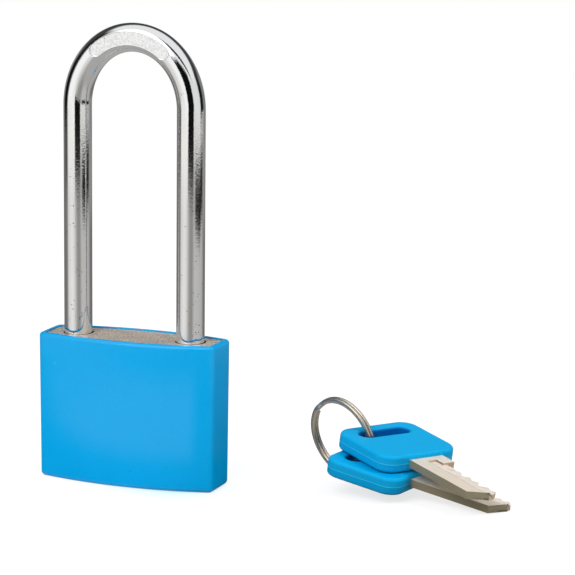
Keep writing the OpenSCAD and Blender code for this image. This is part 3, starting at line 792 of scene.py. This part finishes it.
# ---------------------------------------------------------------- plug and pins
# The plug and the cam above it are turned from brass, and the keyway is broached through the
# plug's face, which shows in the round opening under the padlock. Brass key pins lie in the
# plug, and pressed brass seals close the pin holes and the bolts' bore.
dress(worked_metal("turned_brass", linear(206, 176, 110), 0.34, scale=(1, 1, 5)), "plug",
      "locking_cam")
dress(worked_metal("brass_pins", linear(214, 184, 116), 0.3, scale=(5, 1, 1)), "key_pins",
      "chamber_seals", "latch_bore_seal")

# ---------------------------------------------------------------- split ring
# Flat spring-steel wire wound twice round and nickel plated. It steps from the lower coil to
# the upper one, and both ends lie free beside that step.
ring_low, ring_high = (np.array(corner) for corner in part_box("split_ring"))
ring_centre = (ring_low + ring_high) / 2
set_turn = math.radians(-23)
set_tilt = math.radians(8.339)
ring_lean = math.radians(12)
ring_start = math.radians(140)
ring_r = (10.5 * MM, 12 * MM)
coil_t = 1 * MM
coil_pitch = 1.08 * MM
step_half = math.radians(9)
coil_ends = np.radians([13, 707])
end_round = 0.25 * MM
end_shrink = 0.3
wire_powers = (0.55, 0.7)

set_frame = (Matrix.Translation(Vector(ring_centre)) @ Matrix.Rotation(set_turn, 4, "Z")
             @ Matrix.Rotation(set_tilt, 4, "Y"))


def moved(points, matrix):
    """Points of any grid after a 4 by 4 matrix: their product with its turn, plus its shift."""
    full = np.array(matrix)
    return points @ full[:3, :3].T + full[:3, 3]


def ring_grid(stations=420, sides=40):
    """A rounded oblong carried round two turns. Powers below one on cosine and sine square
    the ellipse of the section, the height rises by one coil across the step, and the section
    shrinks on a quarter circle at each end."""
    turn = np.linspace(*coil_ends, stations)[:, None]
    from_end = np.minimum(turn - coil_ends[0], coil_ends[1] - turn) * ring_r[1]
    short = 1 - np.clip(from_end / end_round, 0, 1)
    shrink = 1 - end_shrink * (1 - np.sqrt(1 - short**2))
    around_wire = np.linspace(0, 2 * np.pi, sides, endpoint=False)[None, :]
    c, s = np.cos(around_wire), np.sin(around_wire)
    wire_w, wire_t = (ring_r[1] - ring_r[0]) / 2, coil_t / 2
    radius = sum(ring_r) / 2 + wire_w * np.sign(c) * np.abs(c) ** wire_powers[0] * shrink
    climb = np.clip((turn - 2 * np.pi + step_half) / (2 * step_half), 0, 1)
    climb = climb * climb * (3 - 2 * climb)
    z = (climb - 0.5) * coil_pitch + wire_t * np.sign(s) * np.abs(s) ** wire_powers[1] * shrink
    return np.stack([radius * np.cos(turn), radius * np.sin(turn),
                     np.broadcast_to(z, radius.shape)], -1)


ring_frame = (set_frame @ Matrix.Rotation(ring_lean + math.pi / 2, 4, "X")
              @ Matrix.Rotation(ring_start, 4, "Z"))
split_ring = surface("split_ring_wire", moved(ring_grid(), ring_frame), closed=(False, True))
split_ring.data.materials.append(
    worked_metal("nickel_wire", linear(206, 196, 182), 0.24, grain=900, contrast=0.06,
                 metallic=0.86, depth=0.004 * MM))
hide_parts("split_ring")
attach(split_ring, "key_ring")

# ---------------------------------------------------------------- key heads
# Two oblong heads of the cover's nylon are moulded round the keys' tangs. Each has soft edges,
# a long slot for the ring, and a fine parting line at half its thickness.
head_l, head_w, head_t = 24.2 * MM, 26.6 * MM, 5 * MM
head_corner = 4.8 * MM
head_soft = 1.05 * MM
slot_x = 6.2 * MM
slot_r = 2.4 * MM
slot_run = 6.1 * MM
slot_soft = 0.95 * MM
flash = 0.05 * MM
seam_half = 0.08 * MM
# Painted shade inside the slot and a painted highlight on the parting line.
painted_slot_shade = linear(0, 96, 172)
painted_seam_highlight = linear(60, 182, 226)
head_x = 5.206 * MM
key_shift = 5.4 * MM
key_lift = 2.6 * MM
key_spread = math.radians(10)


def head_plan(inset):
    """A rectangle with round corners moved inwards by inset, measured from the slot's middle:
    four corner arcs joined by straight sides, each with its own share of points."""
    r = head_corner - inset
    arc = np.linspace(0, np.pi / 2, 17)[None, :]
    x0, x1 = head_corner - slot_x, head_l - head_corner - slot_x
    y1 = head_w / 2 - head_corner
    edges = []
    for k, (cx, cy) in enumerate([(x1, y1), (x0, y1), (x0, -y1), (x1, -y1)]):
        turn = arc + k * np.pi / 2
        edges.append(np.stack([cx + r * np.cos(turn), cy + r * np.sin(turn)], -1))
    joined = []
    share = np.linspace(0, 1, 42)[1:-1, None]
    for k, edge in enumerate(edges):
        first, second = edge[:, -1:, :], edges[(k + 1) % 4][:, :1, :]
        joined += [edge, first + (second - first) * share]
    return np.concatenate(joined, axis=1)


def slot_like(outline, grow):
    """The slot's outline, grown outwards, in the directions of another outline's points. A ray
    meets either a straight side at radius over cosine or the round end beyond it."""
    angle = np.arctan2(outline[..., 1], outline[..., 0])
    c, s = np.cos(angle), np.sin(angle)
    r = slot_r + grow
    straight = r / np.maximum(np.abs(c), 1e-9)
    reach = np.sqrt(np.maximum(r**2 - (slot_run * c) ** 2, 0)) + slot_run * np.abs(s)
    far = np.where(straight * np.abs(s) <= slot_run, straight, reach)
    return far[..., None] * np.stack([c, s], -1)


def head_profile():
    """Stations round the head's section: over the top face, down the side past the parting
    line, back along the lower face, and up the slot's wall past its parting line."""
    half = head_t / 2
    c, s = quarter(90, 0, 9)
    seam_z = np.array([0.12, 0.05, 0, -0.05, -0.12]) * MM
    raised = np.array([0, 0.2, 1, 0.2, 0]) * flash
    side_top = (0, head_soft * (1 - c), 0, half - head_soft * (1 - s))
    parting = (0, -raised, 0, seam_z)
    side_low = (0, head_soft * (1 - c[::-1]), 0, -half + head_soft * (1 - s[::-1]))
    inwards = np.array([0, 0.02, 0.06, 0.2, 0.4, 0.6, 0.8, 0.94, 0.98, 1])
    top = (inwards[::-1], head_soft, slot_soft, half)
    bottom = (inwards, head_soft, slot_soft, -half)
    slot_low = (1, head_soft, slot_soft * (1 - c), -half + slot_soft * (1 - s))
    slot_parting = (1, head_soft, -raised[::-1], seam_z[::-1])
    slot_top = (1, head_soft, slot_soft * (1 - c[::-1]), half - slot_soft * (1 - s[::-1]))
    return rows(top, side_top, parting, side_low, bottom, slot_low, slot_parting, slot_top)


def key_frame(side):
    """Where a key lies on the ring: side is 1 for the upper key and -1 for the lower one."""
    return (set_frame @ Matrix.Rotation(-side * key_spread, 4, "Z")
            @ Matrix.Translation((head_x, side * key_shift, side * key_lift)))


def moved_back(items, field, matrix):
    """One vector of every vertex or face as rows, moved back from where its key lies."""
    return moved(vectors(items, field), matrix.inverted())


def key_nylon():
    """The jacket's nylon, with painted shade where the stored number is under 0.5 and a painted
    highlight where it is over 0.5.
    """
    made = moulded_plastic("key_nylon", linear(0, 157, 212), 0.4, 0.15)
    tree, skin = opened(made)
    painted_light_tone = node(tree, "Attribute", attribute_name="painted_light_tone").outputs["Fac"]
    shaded = mix(tree, fade(tree, painted_light_tone, (0.5, 0)), colour_under(skin), painted_slot_shade)
    feed(tree, skin, Base_Color=mix(tree, fade(tree, painted_light_tone, (0.5, 1)), shaded, painted_seam_highlight))
    return made


def painted_head_tone(corners):
    """A number for every corner, in the key's own frame: 0.5 on the faces, falling to 0 for the
    painted shade inside the slot, and up to 1 for the painted highlight on the parting line."""
    x, y, z = corners.T
    from_slot = np.hypot(x - slot_x, np.clip(np.abs(y) - slot_run, 0, None))
    shade = np.clip(2 * (slot_r - from_slot) / slot_soft + 1, 0, 1)
    seam = np.abs(z) < seam_half
    return 0.5 - 0.5 * shade + seam * (0.5 - 0.15 * shade)


head_points = shell(head_plan, slot_like, head_profile()) + [slot_x, 0, 0]
head_finish = key_nylon()
for name, side in (("upper_key", 1), ("lower_key", -1)):
    head = surface(name + "_grip", moved(head_points, key_frame(side)))
    mark(head, "painted_light_tone", "POINT", painted_head_tone(moved_back(head.data.vertices, "co", key_frame(side))))
    head.data.materials.append(head_finish)
    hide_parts(name + "_head")
    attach(head, name)

# ---------------------------------------------------------------- key blades
# Blanks of nickel silver, with a step milled along one face and a groove along the other,
# five cuts in the edge, a slanted tip and a stop that meets the plug's face.
blade_back, blade_edge = -4.7 * MM, 4.3 * MM
blade_half_t = 1.1 * MM
blade_start, blade_end = 15.4 * MM, 52.2 * MM
stop_end, stop_y = 29.6 * MM, 6.9 * MM
mill_start, mill_depth = 26.6 * MM, 0.6 * MM
mill_y = -0.3 * MM
stop_root_y = 2.9 * MM
groove_y = (-3.1 * MM, -1.1 * MM)
cut_depths = np.array([0.5, 1.4, 0.9, 1.6, 0.7]) * MM
cut_x = stop_end + (4.5 + 3.8 * np.arange(5)) * MM
cut_flat = 0.5 * MM
tip_run, tip_rise = 3 * MM, 5.6 * MM
nose_run, nose_drop = 1.4 * MM, 1.8 * MM
edge_soft = 0.07 * MM
edge_angle = math.radians(25)
tool_slant = math.radians(28)
tone_soft = 0.08 * MM
tool_tones = [(0.36, linear(204, 192, 178)[:3]), (0.5, linear(247, 236, 224)[:3])]
step_line_half, step_line_tone = 0.07 * MM, linear(150, 112, 88)
# Painted shade on the cut edges and the tip, and deeper painted shade on the blade's back.
painted_cut_shade, painted_back_shade = linear(196, 176, 152), linear(142, 133, 108)


def blade_stations():
    """Places along the blade with its back, its edge and how far it is milled there. The edge
    drops into a flat-bottomed V at each cut and slants off at the nose."""
    corners = np.concatenate([cut_x - cut_flat - cut_depths, cut_x - cut_flat,
                              cut_x + cut_flat, cut_x + cut_flat + cut_depths])
    between = np.linspace(stop_end, blade_end, 60)
    x = np.unique(np.round(np.concatenate([corners, between, [
        blade_end - tip_run, blade_end - nose_run]]), 7))
    x = x[(x >= stop_end) & (x <= blade_end)]
    lead = np.array([blade_start, mill_start, mill_start, stop_end])
    x = np.concatenate([lead, x])
    milled = np.concatenate([[0, 0, 1, 1], np.ones(len(x) - 4)])
    open_edge = np.concatenate([[0, 0, 0, 0], np.ones(len(x) - 4)])
    rise = np.abs(x[:, None] - cut_x) - cut_flat
    drop = np.clip(cut_depths - np.clip(rise, 0, None), 0, None).max(1)
    nose = np.clip((x - blade_end + nose_run) / nose_run, 0, 1) * nose_drop
    edge = np.where(open_edge > 0, blade_edge - np.maximum(drop, nose), stop_y)
    back = blade_back + np.clip((x - blade_end + tip_run) / tip_run, 0, 1) * tip_rise
    return x, back, edge, milled, open_edge


def blade_grid():
    """Sections across the blade, each of twelve corners: the lower face with its groove, the
    edge, and the upper face with the milled step, whose outer wall closes it at the stop."""
    x, back, edge, milled, open_edge = blade_stations()
    t = np.full(x.shape, blade_half_t)
    dip = mill_depth * milled
    near = np.maximum(groove_y[0], back)
    far = np.maximum(groove_y[1], back)
    step = np.maximum(mill_y, back)
    shelf = np.where(open_edge > 0, edge, stop_root_y)
    top_edge = np.where(open_edge > 0, t - dip, t)
    y = np.stack([back, near, near, far, far, edge, edge, shelf, shelf, step, step, back], -1)
    z = np.stack([-t, -t, dip - t, dip - t, -t, -t, top_edge, top_edge, t - dip, t - dip, t, t],
                 -1)
    return np.stack([np.broadcast_to(x[:, None], y.shape), y, z], -1)


def key_silver(name, matrix):
    """Nickel silver drawn along the blade. In the key's own frame, the milled step is brighter
    with slanting tool lines and ends at a thin brown line, and the edges have painted shade:
    half an edge_kind is a cut edge and a whole one the blade's back."""
    turn = matrix.to_euler()
    made = worked_metal(name, linear(230, 219, 203), 0.4, scale=(14, 1, 1), turn=turn,
                        grain=3600, contrast=0.06, metallic=0.25)
    tree, skin = opened(made)
    place = node(tree, "TexCoord").outputs["Object"]
    own = drawn_out(tree, place, turn=turn, middle=matrix.translation)
    x, y, z = node(tree, "SeparateXYZ", {"Vector": own}).outputs
    slant = (matrix @ Matrix.Rotation(tool_slant, 4, "Z")).to_euler()
    tool_lines = noise(tree, drawn_out(tree, place, (22, 1, 1), slant), 5200, 1)

    def over(value, edge, ends=(0, 1)):
        """One where a coordinate is more than an edge and zero where it is less."""
        return fade(tree, value, (edge - tone_soft / 2, edge + tone_soft / 2), ends)

    def both(first, second):
        """One where both are one."""
        return reckon(tree, "MULTIPLY", first, second)

    upper_face = both(over(z, 0), over(x, mill_start))
    step_line = both(over(y, mill_y - step_line_half), over(y, mill_y + step_line_half, (1, 0)))
    kind = node(tree, "Attribute", attribute_name="edge_kind").outputs["Fac"]
    toned = mix(tree, both(upper_face, over(y, mill_y)), colour_under(skin),
                ramp(tree, tool_lines, tool_tones))
    toned = mix(tree, both(upper_face, step_line), toned, step_line_tone)
    # Painted shade on the blade's edges, by the way each face looks.
    toned = mix(tree, fade(tree, kind, (0, 0.5)), toned, painted_cut_shade)
    toned = mix(tree, fade(tree, kind, (0.5, 1)), toned, painted_back_shade)
    feed(tree, skin, Base_Color=toned)
    return made


def edge_kind(facing):
    """For the way that each face looks in the key's own frame: zero on the flats, one on the
    blade's back and half on the other edges and the tip."""
    return (np.abs(facing[:, 2]) < 0.5) * np.where(facing[:, 1] < -0.3, 1.0, 0.5)


for name, side in (("upper_key", 1), ("lower_key", -1)):
    blade = surface(name + "_blank", moved(blade_grid(), key_frame(side)), closed=(False, True),
                    crease=math.degrees(edge_angle))
    soften = blade.modifiers.new("soft_edges", "BEVEL")
    soften.width = edge_soft
    soften.segments = 2
    soften.limit_method = "ANGLE"
    soften.angle_limit = edge_angle
    soften.harden_normals = True
    turn_only = key_frame(side).to_3x3().to_4x4()
    mark(blade, "edge_kind", "FACE",
         edge_kind(moved_back(blade.data.polygons, "normal", turn_only)))
    blade.data.materials.append(key_silver(name + "_nickel_silver", key_frame(side)))
    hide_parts(name + "_blade")
    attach(blade, name)
